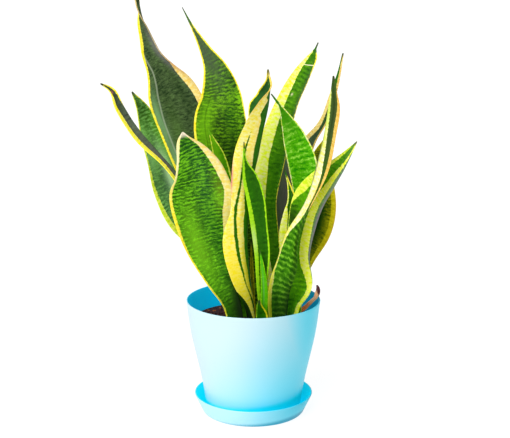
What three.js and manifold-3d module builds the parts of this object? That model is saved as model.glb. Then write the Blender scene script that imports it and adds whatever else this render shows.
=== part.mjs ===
// A variegated snake plant growing in a light-blue plastic pot, which stands in a round saucer.
// Sizes are millimetres and +Z is up. The origin is the middle of the saucer's underside,
// and the front of the plant looks along -Y.

import * as THREE from 'three';
import { mergeVertices } from 'three/addons/utils/BufferGeometryUtils.js';
import Module from 'manifold-3d';

const wasm = await Module();
wasm.setup();

// ---------------------------------------------------------------- driving dimensions

const CLEARANCE = 0.3; // between pieces that touch
const ROUND_SEGMENTS = 48; // facets around the pot, the saucer and the soil

const SAUCER = {
  rimRadius: 75.5,
  footRadius: 62,
  height: 24.3,
  wall: 1.8,
  floor: 2,
  footRound: 4,
};

const POT = {
  rimRadius: 85,
  waistRadius: 79.4, // 105 mm above the table
  lowerRadius: 67, // 48 mm above the table
  footRadius: 58,
  rimHeight: 147.5,
  wall: 1.8,
  floor: 2,
  footRing: 1.5, // the ring under the floor that the pot stands on
  drainHoleRadius: 5,
  drainHoleCircle: 34,
  drainHoles: 5,
};

const SOIL_EDGE_HEIGHT = 119.5;
const SOIL_MIDDLE_HEIGHT = 121.5;

const BLADE = {
  rootThickness: 3.4, // along the middle of a leaf, at its root
  tipThickness: 1.8,
  marginThickness: 1,
  keelRound: 0.25, // how round the fold is, as a share of the half width
  rowsPerStation: 2,
  waveLength: 85, // the margins wave gently along a leaf
};

// Each leaf is drawn from root to tip by stations down its middle:
// [x, y, z, half width, turn, fold]. Turn is the heading of the leaf's width about +Z in degrees,
// 0 when it faces the front, and fold is how far each half is bent up into a channel.
const LEAVES = {
  leaf_tall_left: {
    wave: 1.5,
    stations: [
      [-20, 38, 100, 12.5, 10, 30],
      [-32, 46, 166, 14, 6, 25],
      [-48, 50, 229, 19.5, 3, 19],
      [-64, 51, 284, 26, -1, 15],
      [-78, 50, 334, 32.5, -6, 13],
      [-91, 47, 380, 37.5, -10, 14],
      [-102, 44, 411, 34, -13, 17],
      [-114, 41, 434, 23, -15, 19],
      [-126, 37, 455, 15, -17, 20],
      [-133, 33, 478, 8.8, -19, 20],
      [-138, 22, 506, 8, -84, 20],
      [-142, 18, 530, 4, -120, 20],
      [-146, 15, 546, 0.4, -130, 20],
    ],
  },
  leaf_tall_middle: {
    wave: 1.5,
    stations: [
      [-4, 18, 100, 12, 0, 30],
      [-8, 18, 178, 18, -3, 24],
      [-21, 19, 237, 24.5, -5, 19],
      [-32, 21, 288, 28.5, -7, 16],
      [-38, 23, 333, 33.5, -8, 14],
      [-40, 24, 370, 35.5, -9, 15],
      [-39, 26, 402, 27.5, -10, 16],
      [-46, 29, 434, 17.5, -10, 16],
      [-59, 31, 459, 9, -12, 17],
      [-75, 33, 487, 2.5, -13, 17],
      [-88, 36, 511, 0.4, -14, 18],
    ],
  },
  leaf_front_left: {
    wave: 2,
    stations: [
      [-20, -16, 100, 12.5, 5, 30],
      [-27, -14, 143, 13, 8, 26],
      [-43, -14, 179, 20, 12, 22],
      [-54, -17, 218, 31, 13, 17],
      [-61, -21, 254, 38, 14, 14],
      [-64.6, -28, 291, 41.5, 13, 14],
      [-66.3, -35, 316, 33.2, 12, 14],
      [-72.5, -42, 338, 23.6, 11, 16],
      [-81, -49, 357, 12.5, 10, 17],
      [-84, -54, 369, 0.8, 10, 18],
    ],
  },
  leaf_far_left: {
    wave: 1,
    stations: [
      [-27, 2, 100, 10.5, 40, 40],
      [-37, 8, 169, 12.5, 44, 40],
      [-57, 9, 223, 14, 47, 39],
      [-81, 7, 276, 10.5, 48, 38],
      [-108, 1, 317, 7, 44, 36],
      [-141, -8, 354, 8.5, 40, 34],
      [-162, -18, 391, 8, 35, 32],
      [-169.5, -24, 413.5, 4.8, 32, 31],
      [-183, -30, 424, 0.8, 30, 30],
    ],
  },
  leaf_back_left: {
    wave: 1.5,
    stations: [
      [-21, 52, 100, 9.5, 8, 30],
      [-34, 58, 147, 10.5, 10, 26],
      [-56, 62, 195, 16, 12, 21],
      [-85, 64, 238, 29, 13, 18],
      [-105, 64, 278, 27.5, 15, 16],
      [-118, 62, 318, 22, 16, 14],
      [-130, 59, 350, 17, 18, 16],
      [-141, 55, 382, 9.5, 19, 17],
      [-153.5, 50, 405, 0.8, 20, 18],
    ],
  },
  leaf_small_left: {
    wave: 0.5,
    stations: [
      [-9, 9, 100, 7, 0, 35],
      [-17, 12, 176, 9, 4, 26],
      [-26, 11, 235, 10.5, 8, 19],
      [-34, 9, 285, 11, 9, 19],
      [-42, 6, 328, 8.5, 9, 19],
      [-55, 2, 363, 0.4, 10, 20],
    ],
  },
  leaf_folded: {
    wave: 0.3,
    stations: [
      [3, -8, 99, 8, -100, 50],
      [-1, -15, 145, 14, -110, 50],
      [-6, -23, 185, 27, -118, 50],
      [-9, -28, 232, 35, -120, 48],
      [-6, -32, 270, 27, -116, 48],
      [-1, -35, 310, 34, -110, 46],
      [5, -37, 340, 34, -121, 48],
      [12, -39, 372, 34, -96, 54],
      [17, -40, 395, 32.5, -82, 52],
      [19, -40, 413, 19, -71, 45],
      [18.3, -40, 429, 5.2, -10, 40],
      [17.4, -40, 442, 1, 0, 40],
    ],
  },
  leaf_tall_right: {
    wave: 1,
    stations: [
      [32, 12, 100, 9, 0, 30],
      [27, 14, 164, 11, -3, 26],
      [21, 17, 217, 14, -5, 22],
      [16, 20, 269, 15, -7, 19],
      [20.5, 23, 317, 20, -9, 17],
      [31, 27, 359, 18.5, -10, 16],
      [44, 30, 396, 15, -11, 17],
      [59, 33, 425, 12.5, -11, 17],
      [72.5, 36, 447, 8, -12, 18],
      [76.2, 37, 456.5, 3.2, -12, 18],
      [77.4, 37.5, 460, 1.4, -12, 18],
      [80.7, 38, 467.5, 0.8, -12, 18],
    ],
  },
  leaf_middle: {
    wave: 1,
    stations: [
      [52, 2, 100, 9, 0, 30],
      [55, 0, 170, 10, -2, 25],
      [59, 0, 222, 11.5, -4, 20],
      [63, 0, 274, 13.5, -4, 17],
      [62, 1, 316, 19, -4, 14],
      [52, 2, 350, 16, -3, 15],
      [42, 4, 374, 9, -2, 16],
      [33, 5, 392, 2.6, -1, 17],
      [22, 6, 407.5, 0.8, 0, 18],
    ],
  },
  leaf_front_right: {
    wave: 1,
    stations: [
      [31, -25, 100, 12.5, 0, 35],
      [32, -29, 164, 15.5, -6, 29],
      [44, -33, 202, 17, -30, 26],
      [51, -37, 235, 15, -56, 24],
      [64, -42, 267, 12, -69, 22],
      [78, -47, 301, 12, -62, 22],
      [88, -53, 335, 12.5, -52, 24],
      [94, -59, 370, 12, -48, 26],
      [97, -65, 399, 10, -46, 27],
      [95, -70, 420, 5.5, -44, 29],
      [93, -74, 438, 1.2, -30, 30],
    ],
  },
  leaf_broad_right: {
    wave: 1,
    stations: [
      [48, -14, 100, 6, 0, 30],
      [50, -14, 140, 9.5, -2, 27],
      [58, -16, 171, 18, -5, 24],
      [56, -20, 209, 16, -9, 20],
      [60, -25, 246, 18, -13, 16],
      [68, -32, 282, 21, -16, 16],
      [85, -40, 308, 17.5, -18, 16],
      [101, -47, 327, 11, -19, 17],
      [114, -54, 345, 5, -19, 17],
      [123, -60, 359, 0.4, -20, 18],
    ],
  },
  leaf_back_bulging: {
    wave: 1,
    stations: [
      [53, 22, 100, 6.5, 0, 30],
      [56, 29, 148, 7, -4, 24],
      [66, 33, 189, 13, -8, 18],
      [80, 36, 227, 21.5, -12, 16],
      [86, 37, 261, 22.5, -15, 15],
      [86, 36, 296, 18.5, -17, 16],
      [87, 34, 326, 12.5, -19, 17],
      [91, 32, 350, 0.4, -20, 18],
    ],
  },
  leaf_back_right: {
    wave: 1,
    stations: [
      [42, 34, 100, 7.5, 0, 30],
      [43, 42, 157, 10, -7, 23],
      [45, 51, 212, 13.5, -14, 19],
      [46, 59, 263, 23, -23, 18],
      [58, 65, 303, 28, -44, 20],
      [75, 71, 335, 17, -61, 23],
      [94, 77, 365, 11.5, -62, 24],
      [109.5, 86, 415, 6, -62, 26],
      [116, 92, 450, 1.6, -60, 30],
    ],
  },
  leaf_small_middle: {
    wave: 0.5,
    stations: [
      [38, -8, 100, 6, 0, 35],
      [39, -11, 163, 7, 0, 28],
      [40, -14, 205, 8, 0, 24],
      [40, -16, 238, 9, 0, 21],
      [45, -19, 262, 9.2, 0, 20],
      [47.5, -21, 279, 6.6, 0, 20],
      [43, -23, 302, 2, 0, 20],
      [37, -26, 321, 0.4, 0, 20],
    ],
  },
  leaf_dark_middle: {
    wave: 0.5,
    stations: [
      [16, -13, 100, 6, 0, 35],
      [11, -22, 169, 8, 0, 29],
      [11, -30, 214, 11, 0, 24],
      [7, -37, 253, 11.5, 0, 21],
      [3, -43, 286, 12.3, 0, 18],
      [-3.5, -48, 313, 10.3, 0, 18],
      [-10, -53, 335, 3, 0, 18],
      [-11, -57, 358, 0.4, 0, 18],
    ],
  },
  leaf_young_strip: {
    wave: 0,
    stations: [
      [12, -20, 100, 4.5, 0, 30],
      [13, -27, 161, 4.5, 0, 22],
      [11, -33, 196, 2.5, 0, 15],
      [8, -37, 220, 0.4, 0, 10],
    ],
  },
  leaf_base_sheath: {
    wave: 0,
    stations: [
      [9, -28, 100, 9, 0, 30],
      [11, -31, 133, 8.5, 0, 22],
      [8, -34, 147, 4.5, 0, 15],
      [7, -36, 157, 0.4, 0, 10],
    ],
  },
  leaf_young_olive: {
    wave: 0,
    stations: [
      [3, 12, 100, 2.5, 0, 30],
      [0, 6, 145, 2.5, 0, 23],
      [-2, 2, 187, 2.5, 0, 16],
      [-3, -2, 223, 0.4, 0, 10],
    ],
  },
  dry_leaf: {
    wave: 0,
    stations: [
      [57, 37, 108, 3, -30, 20],
      [62, 31, 121, 3.4, -45, 28],
      [69.8, 22, 132.6, 3.3, -28, 32],
      [75, 14, 141.4, 3.3, -12, 32],
      [79.1, 7, 148, 3.6, 0, 34],
      [81.6, 3, 155, 4.2, 0, 36],
      [82, 1, 161.5, 3, 0, 36],
      [80.4, 0, 165.5, 0.9, 0, 36],
    ],
  },
};

const COLOURS = {
  leaf: '#4e8f1c',
  dryLeaf: '#8a5226',
  soil: '#5b3a2c',
  pot: '#b5e9f7',
  saucer: '#35c3ec',
};

// ---------------------------------------------------------------- solids and booleans

function toSolid(geometry) {
  const bare = geometry.clone();
  bare.deleteAttribute('normal');
  bare.deleteAttribute('uv');
  const merged = mergeVertices(bare, 1e-4);
  return new wasm.Manifold(new wasm.Mesh({
    numProp: 3,
    vertProperties: new Float32Array(merged.attributes.position.array),
    triVerts: new Uint32Array(merged.index.array),
  }));
}

function toGeometry(solid) {
  const mesh = solid.getMesh();
  const geometry = new THREE.BufferGeometry();
  geometry.setAttribute('position', new THREE.BufferAttribute(mesh.vertProperties, 3));
  geometry.setIndex(new THREE.BufferAttribute(mesh.triVerts, 1));
  geometry.computeVertexNormals();
  return geometry;
}

function piece(name, geometry, colour, roughness) {
  const material = new THREE.MeshStandardMaterial({ color: colour, roughness, metalness: 0 });
  const mesh = new THREE.Mesh(geometry, material);
  mesh.name = name;
  return mesh;
}

// Turns an outline of [radius, height] points about +Z.
function turned(outline) {
  const points = outline.map(([radius, height]) => new THREE.Vector2(radius, height));
  const geometry = new THREE.LatheGeometry(points, ROUND_SEGMENTS);
  geometry.rotateX(Math.PI / 2);
  return geometry;
}

// ---------------------------------------------------------------- saucer, pot and soil

// A quarter round from the underside at [radius - round, floor] out to [radius, floor + round].
function quarterRound(radius, floor, round, steps = 4) {
  const points = [];
  for (let step = 0; step <= steps; step += 1) {
    const angle = (step / steps) * (Math.PI / 2);
    points.push([radius - round + round * Math.sin(angle), floor + round - round * Math.cos(angle)]);
  }
  return points;
}

function saucerGeometry() {
  const { rimRadius, footRadius, height, wall, floor, footRound } = SAUCER;
  const outside = quarterRound(footRadius + footRound / 2, 0, footRound);
  const inside = quarterRound(footRadius + footRound / 2 - wall, floor, footRound - wall).reverse();
  return turned([
    [0, 0],
    ...outside,
    [rimRadius - 0.4, height - 0.8],
    [rimRadius, height],
    [rimRadius - wall, height],
    ...inside,
    [0, floor],
  ]);
}

// The pot's side is one gentle curve through its four driving radii.
function potSide(inset) {
  const foot = SAUCER.floor + 8;
  const curve = new THREE.SplineCurve([
    new THREE.Vector2(POT.footRadius + 2.6, foot),
    new THREE.Vector2(POT.lowerRadius, 48),
    new THREE.Vector2(POT.waistRadius, 105),
    new THREE.Vector2(POT.rimRadius, POT.rimHeight),
  ]);
  return curve.getPoints(6).map((point) => [point.x - inset, point.y]);
}

function potGeometry() {
  const base = SAUCER.floor;
  const underside = base + POT.footRing;
  const side = potSide(0);
  const inner = potSide(POT.wall).reverse();
  const shell = toSolid(turned([
    [0, underside],
    [POT.footRadius - 9, underside],
    [POT.footRadius - 8, base],
    [POT.footRadius - 4, base],
    [POT.footRadius - 0.8, base + 1.6],
    ...side,
    ...inner,
    [POT.footRadius - 3, underside + POT.floor],
    [0, underside + POT.floor],
  ]));
  return toGeometry(drainHoles().reduce((pot, hole) => pot.subtract(hole), shell));
}

function drainHoles() {
  const holes = [];
  for (let index = 0; index < POT.drainHoles; index += 1) {
    const angle = (index / POT.drainHoles) * 2 * Math.PI;
    const hole = new THREE.CylinderGeometry(POT.drainHoleRadius, POT.drainHoleRadius, 20, 16);
    hole.rotateX(Math.PI / 2);
    hole.translate(
      POT.drainHoleCircle * Math.cos(angle),
      POT.drainHoleCircle * Math.sin(angle),
      SAUCER.floor,
    );
    holes.push(toSolid(hole));
  }
  return holes;
}

function soilGeometry() {
  const bottom = SAUCER.floor + POT.footRing + POT.floor + CLEARANCE;
  const side = potSide(POT.wall + CLEARANCE).filter(([, height]) => height < SOIL_EDGE_HEIGHT - 4);
  const rim = side[side.length - 1][0] + 0.9;
  let soil = toSolid(turned([
    [0, bottom],
    [POT.footRadius - 3.6, bottom],
    ...side,
    [rim, SOIL_EDGE_HEIGHT],
    [rim * 0.6, SOIL_MIDDLE_HEIGHT - 0.5],
    [0, SOIL_MIDDLE_HEIGHT],
  ]));
  for (const leaf of Object.values(LEAVES)) {
    soil = soil.subtract(toSolid(leafGeometry(leaf, CLEARANCE)));
  }
  return toGeometry(soil);
}

// ---------------------------------------------------------------- leaves

function smoothCurve(points) {
  return new THREE.CatmullRomCurve3(points, false, 'catmullrom', 0.5);
}

// The cross-section of a leaf: points across one face from margin to margin, then back across
// the other. Each is [across, height, through]: across runs from -1 to 1, and height bends the
// halves up into the channel.
const ACROSS = [-1, -0.55, 0, 0.55, 1];

function leafSection(halfWidth, fold, thickness, lift, grow) {
  const bend = THREE.MathUtils.degToRad(fold);
  const keel = BLADE.keelRound * halfWidth;
  const place = (across, face) => {
    const depth = thickness * (1 - across * across) + BLADE.marginThickness * across * across;
    const reach = across * (halfWidth + grow);
    const slant = Math.hypot(reach, keel);
    const slope = Math.atan(Math.tan(bend) * (reach / slant));
    const offset = face * (depth / 2 + grow);
    return {
      side: reach * Math.cos(bend) - offset * Math.sin(slope),
      up: (slant - keel) * Math.sin(bend) + lift * across ** 3 + offset * Math.cos(slope),
    };
  };
  const front = ACROSS.map((across) => place(across, 1));
  const back = ACROSS.map((across) => place(across, -1)).reverse();
  return [...front, ...back];
}

// A leaf is its section swept along its middle. With grow it is a little larger all round,
// which makes the hole that it stands in.
function leafGeometry({ stations, wave }, grow = 0) {
  const middle = smoothCurve(stations.map(([x, y, z]) => new THREE.Vector3(x, y, z)));
  const shape = smoothCurve(stations.map(([, , , halfWidth, turn, fold]) => (
    new THREE.Vector3(halfWidth, turn, fold))));
  const rows = (stations.length - 1) * BLADE.rowsPerStation;
  const positions = [];
  let travelled = 0;
  let previous = null;
  for (let row = 0; row <= rows; row += 1) {
    const along = row / rows;
    const point = middle.getPoint(along);
    const tangent = middle.getTangent(along);
    travelled += previous ? point.distanceTo(previous) : 0;
    previous = point.clone();
    if (row === 0) point.addScaledVector(tangent, -grow);
    const { x: halfWidth, y: turn, z: fold } = shape.getPoint(along);
    const heading = THREE.MathUtils.degToRad(turn);
    const width = new THREE.Vector3(Math.cos(heading), Math.sin(heading), 0);
    width.addScaledVector(tangent, -width.dot(tangent)).normalize();
    const face = width.clone().cross(tangent);
    const thickness = THREE.MathUtils.lerp(BLADE.rootThickness, BLADE.tipThickness, along);
    const room = Math.min(1, halfWidth / 8);
    const lift = wave * room * Math.sin((travelled / BLADE.waveLength) * 2 * Math.PI);
    const section = leafSection(
      Math.max(halfWidth, 0.4),
      fold,
      BLADE.marginThickness + (thickness - BLADE.marginThickness) * room,
      lift,
      grow,
    );
    for (const { side, up } of section) {
      positions.push(
        point.x + width.x * side + face.x * up,
        point.y + width.y * side + face.y * up,
        point.z + width.z * side + face.z * up,
      );
    }
  }
  return sweptGeometry(positions, rows);
}

// Joins the rows of a leaf. The front and back faces are split alike, so that they never meet.
function sweptGeometry(positions, rows) {
  const across = ACROSS.length;
  const ring = 2 * across;
  const index = [];
  const quad = (a, b, c, d) => index.push(a, b, c, a, c, d);
  for (let row = 0; row < rows; row += 1) {
    const low = row * ring;
    const high = low + ring;
    for (let i = 0; i < across - 1; i += 1) {
      const j = ring - 1 - i;
      quad(low + i, low + i + 1, high + i + 1, high + i);
      index.push(low + j, high + j - 1, low + j - 1, low + j, high + j, high + j - 1);
    }
    quad(low + across - 1, low + across, high + across, high + across - 1);
    quad(low + ring - 1, low, high, high + ring - 1);
  }
  const last = rows * ring;
  for (let i = 0; i < across - 1; i += 1) {
    const j = ring - 1 - i;
    quad(i, j, j - 1, i + 1);
    quad(last + i, last + i + 1, last + j - 1, last + j);
  }
  const geometry = new THREE.BufferGeometry();
  geometry.setAttribute('position', new THREE.Float32BufferAttribute(positions, 3));
  geometry.setIndex(index);
  geometry.computeVertexNormals();
  return geometry;
}

// ---------------------------------------------------------------- the whole plant

const plant = new THREE.Group();
plant.add(piece('saucer', saucerGeometry(), COLOURS.saucer, 0.35));
plant.add(piece('pot', potGeometry(), COLOURS.pot, 0.4));
plant.add(piece('soil', soilGeometry(), COLOURS.soil, 0.95));
for (const [name, leaf] of Object.entries(LEAVES)) {
  const colour = name === 'dry_leaf' ? COLOURS.dryLeaf : COLOURS.leaf;
  plant.add(piece(name, leafGeometry(leaf), colour, 0.4));
}

export default plant;
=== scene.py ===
"""A variegated snake plant in a pale blue plastic pot that stands in its saucer.

Sizes are written in millimetres and turned into metres as each piece is made. +Z is up, the
origin is the middle of the saucer's underside, and the front of the plant looks along -Y.
"""

import math
import random

import bpy
import numpy as np
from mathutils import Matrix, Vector, noise


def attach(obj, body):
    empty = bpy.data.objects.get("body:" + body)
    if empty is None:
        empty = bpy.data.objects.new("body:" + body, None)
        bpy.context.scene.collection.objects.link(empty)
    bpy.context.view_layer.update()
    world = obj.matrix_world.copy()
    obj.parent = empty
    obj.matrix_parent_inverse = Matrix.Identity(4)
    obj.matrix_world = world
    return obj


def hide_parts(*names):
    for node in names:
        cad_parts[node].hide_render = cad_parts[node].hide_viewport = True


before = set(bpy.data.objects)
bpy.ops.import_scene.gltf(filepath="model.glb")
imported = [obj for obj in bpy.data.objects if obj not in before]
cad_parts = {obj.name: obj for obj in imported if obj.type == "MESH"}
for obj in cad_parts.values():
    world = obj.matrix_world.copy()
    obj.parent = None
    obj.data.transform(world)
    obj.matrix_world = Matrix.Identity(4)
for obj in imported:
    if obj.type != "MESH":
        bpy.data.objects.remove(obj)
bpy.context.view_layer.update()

MM = 0.001
BODY = "root"

# ------------------------------------------------------------------ the plant's measures

# The blades, from root to tip. A station is
# [x, y, z, half width, turn, fold], in mm and degrees, down the middle of the blade.
# Turn is the heading of the blade's width about +Z, and fold is how far each half is bent up.
# wave: how far the edges wave up and down, in mm.
LEAVES = {
    "leaf_tall_left": dict(wave=1.5, stations=[
        [-20, 38, 100, 12.5, 10, 30],
        [-32, 46, 166, 14, 6, 25],
        [-48, 50, 229, 19.5, 3, 19],
        [-64, 51, 284, 26, -1, 15],
        [-78, 50, 334, 32.5, -6, 13],
        [-91, 47, 380, 37.5, -10, 14],
        [-102, 44, 411, 34, -13, 17],
        [-114, 41, 434, 23, -15, 19],
        [-126, 37, 455, 15, -17, 20],
        [-133, 33, 478, 8.8, -19, 20],
        [-138, 22, 506, 8, -84, 20],
        [-142, 18, 530, 4, -120, 20],
        [-146, 15, 546, 0.4, -130, 20],
    ]),
    "leaf_tall_middle": dict(wave=1.5, stations=[
        [-4, 18, 100, 12, 0, 30],
        [-8, 18, 178, 18, -3, 24],
        [-21, 19, 237, 24.5, -5, 19],
        [-32, 21, 288, 28.5, -7, 16],
        [-38, 23, 333, 33.5, -8, 14],
        [-40, 24, 370, 35.5, -9, 15],
        [-39, 26, 402, 27.5, -10, 16],
        [-46, 29, 434, 17.5, -10, 16],
        [-59, 31, 459, 9, -12, 17],
        [-75, 33, 487, 2.5, -13, 17],
        [-88, 36, 511, 0.4, -14, 18],
    ]),
    "leaf_front_left": dict(wave=2, stations=[
        [-20, -16, 100, 12.5, 5, 30],
        [-27, -14, 143, 13, 8, 26],
        [-43, -14, 179, 20, 12, 22],
        [-54, -17, 218, 31, 13, 17],
        [-61, -21, 254, 38, 14, 14],
        [-64.6, -28, 291, 41.5, 13, 14],
        [-66.3, -35, 316, 33.2, 12, 14],
        [-72.5, -42, 338, 23.6, 11, 16],
        [-81, -49, 357, 12.5, 10, 17],
        [-84, -54, 369, 0.8, 10, 18],
    ]),
    "leaf_far_left": dict(wave=1, stations=[
        [-27, 2, 100, 10.5, 40, 40],
        [-37, 8, 169, 12.5, 44, 40],
        [-57, 9, 223, 14, 47, 39],
        [-81, 7, 276, 10.5, 48, 38],
        [-108, 1, 317, 7, 44, 36],
        [-141, -8, 354, 8.5, 40, 34],
        [-162, -18, 391, 8, 35, 32],
        [-169.5, -24, 413.5, 4.8, 32, 31],
        [-183, -30, 424, 0.8, 30, 30],
    ]),
    "leaf_back_left": dict(wave=1.5, stations=[
        [-21, 52, 100, 9.5, 8, 30],
        [-34, 58, 147, 10.5, 10, 26],
        [-56, 62, 195, 16, 12, 21],
        [-85, 64, 238, 29, 13, 18],
        [-105, 64, 278, 27.5, 15, 16],
        [-118, 62, 318, 22, 16, 14],
        [-130, 59, 350, 17, 18, 16],
        [-141, 55, 382, 9.5, 19, 17],
        [-153.5, 50, 405, 0.8, 20, 18],
    ]),
    "leaf_small_left": dict(wave=0.5, stations=[
        [-9, 9, 100, 7, 0, 35],
        [-17, 12, 176, 9, 4, 26],
        [-26, 11, 235, 10.5, 8, 19],
        [-34, 9, 285, 11, 9, 19],
        [-42, 6, 328, 8.5, 9, 19],
        [-55, 2, 363, 0.4, 10, 20],
    ]),
    "leaf_folded": dict(wave=0.3, stations=[
        [3, -8, 99, 8, -100, 50],
        [-1, -15, 145, 14, -110, 50],
        [-6, -23, 185, 27, -118, 50],
        [-9, -28, 232, 35, -120, 48],
        [-6, -32, 270, 27, -116, 48],
        [-1, -35, 310, 34, -110, 46],
        [5, -37, 340, 34, -121, 48],
        [12, -39, 372, 34, -96, 54],
        [17, -40, 395, 32.5, -82, 52],
        [19, -40, 413, 19, -71, 45],
        [18.3, -40, 429, 5.2, -10, 40],
        [17.4, -40, 442, 1, 0, 40],
    ]),
    "leaf_tall_right": dict(wave=1, stations=[
        [32, 12, 100, 9, 0, 30],
        [27, 14, 164, 11, -3, 26],
        [21, 17, 217, 14, -5, 22],
        [16, 20, 269, 15, -7, 19],
        [20.5, 23, 317, 20, -9, 17],
        [31, 27, 359, 18.5, -10, 16],
        [44, 30, 396, 15, -11, 17],
        [59, 33, 425, 12.5, -11, 17],
        [72.5, 36, 447, 8, -12, 18],
        [76.2, 37, 456.5, 3.2, -12, 18],
        [77.4, 37.5, 460, 1.4, -12, 18],
        [80.7, 38, 467.5, 0.8, -12, 18],
    ]),
    "leaf_middle": dict(wave=1, stations=[
        [52, 2, 100, 9, 0, 30],
        [55, 0, 170, 10, -2, 25],
        [59, 0, 222, 11.5, -4, 20],
        [63, 0, 274, 13.5, -4, 17],
        [62, 1, 316, 19, -4, 14],
        [52, 2, 350, 16, -3, 15],
        [42, 4, 374, 9, -2, 16],
        [33, 5, 392, 2.6, -1, 17],
        [22, 6, 407.5, 0.8, 0, 18],
    ]),
    "leaf_front_right": dict(wave=1, stations=[
        [31, -25, 100, 12.5, 0, 35],
        [32, -29, 164, 15.5, -6, 29],
        [44, -33, 202, 17, -30, 26],
        [51, -37, 235, 15, -56, 24],
        [64, -42, 267, 12, -69, 22],
        [78, -47, 301, 12, -62, 22],
        [88, -53, 335, 12.5, -52, 24],
        [94, -59, 370, 12, -48, 26],
        [97, -65, 399, 10, -46, 27],
        [95, -70, 420, 5.5, -44, 29],
        [93, -74, 438, 1.2, -30, 30],
    ]),
    "leaf_broad_right": dict(wave=1, stations=[
        [48, -14, 100, 6, 0, 30],
        [50, -14, 140, 9.5, -2, 27],
        [58, -16, 171, 18, -5, 24],
        [56, -20, 209, 16, -9, 20],
        [60, -25, 246, 18, -13, 16],
        [68, -32, 282, 21, -16, 16],
        [85, -40, 308, 17.5, -18, 16],
        [101, -47, 327, 11, -19, 17],
        [114, -54, 345, 5, -19, 17],
        [123, -60, 359, 0.4, -20, 18],
    ]),
    "leaf_back_bulging": dict(wave=1, stations=[
        [53, 22, 100, 6.5, 0, 30],
        [56, 29, 148, 7, -4, 24],
        [66, 33, 189, 13, -8, 18],
        [80, 36, 227, 21.5, -12, 16],
        [86, 37, 261, 22.5, -15, 15],
        [86, 36, 296, 18.5, -17, 16],
        [87, 34, 326, 12.5, -19, 17],
        [91, 32, 350, 0.4, -20, 18],
    ]),
    "leaf_back_right": dict(wave=1, stations=[
        [42, 34, 100, 7.5, 0, 30],
        [43, 42, 157, 10, -7, 23],
        [45, 51, 212, 13.5, -14, 19],
        [46, 59, 263, 23, -23, 18],
        [58, 65, 303, 28, -44, 20],
        [75, 71, 335, 17, -61, 23],
        [94, 77, 365, 11.5, -62, 24],
        [109.5, 86, 415, 6, -62, 26],
        [116, 92, 450, 1.6, -60, 30],
    ]),
    "leaf_small_middle": dict(wave=0.5, stations=[
        [38, -8, 100, 6, 0, 35],
        [39, -11, 163, 7, 0, 28],
        [40, -14, 205, 8, 0, 24],
        [40, -16, 238, 9, 0, 21],
        [45, -19, 262, 9.2, 0, 20],
        [47.5, -21, 279, 6.6, 0, 20],
        [43, -23, 302, 2, 0, 20],
        [37, -26, 321, 0.4, 0, 20],
    ]),
    "leaf_dark_middle": dict(wave=0.5, stations=[
        [16, -13, 100, 6, 0, 35],
        [11, -22, 169, 8, 0, 29],
        [11, -30, 214, 11, 0, 24],
        [7, -37, 253, 11.5, 0, 21],
        [3, -43, 286, 12.3, 0, 18],
        [-3.5, -48, 313, 10.3, 0, 18],
        [-10, -53, 335, 3, 0, 18],
        [-11, -57, 358, 0.4, 0, 18],
    ]),
    # A little wider on its right than its solid, to close the gap beside leaf_front_right.
    "leaf_young_strip": dict(wave=0, stations=[
        [12, -20, 100, 4.5, 0, 30],
        [13.9, -27, 161, 5.4, 0, 22],
        [11.5, -33, 196, 3, 0, 15],
        [8, -37, 220, 0.4, 0, 10],
    ]),
    "leaf_base_sheath": dict(wave=0, stations=[
        [9, -28, 100, 9, 0, 30],
        [11, -31, 133, 8.5, 0, 22],
        [8, -34, 147, 4.5, 0, 15],
        [7, -36, 157, 0.4, 0, 10],
    ]),
    "leaf_young_olive": dict(wave=0, stations=[
        [3, 12, 100, 2.5, 0, 30],
        [0, 6, 145, 2.5, 0, 23],
        [-2, 2, 187, 2.5, 0, 16],
        [-3, -2, 223, 0.4, 0, 10],
    ]),
}

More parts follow.
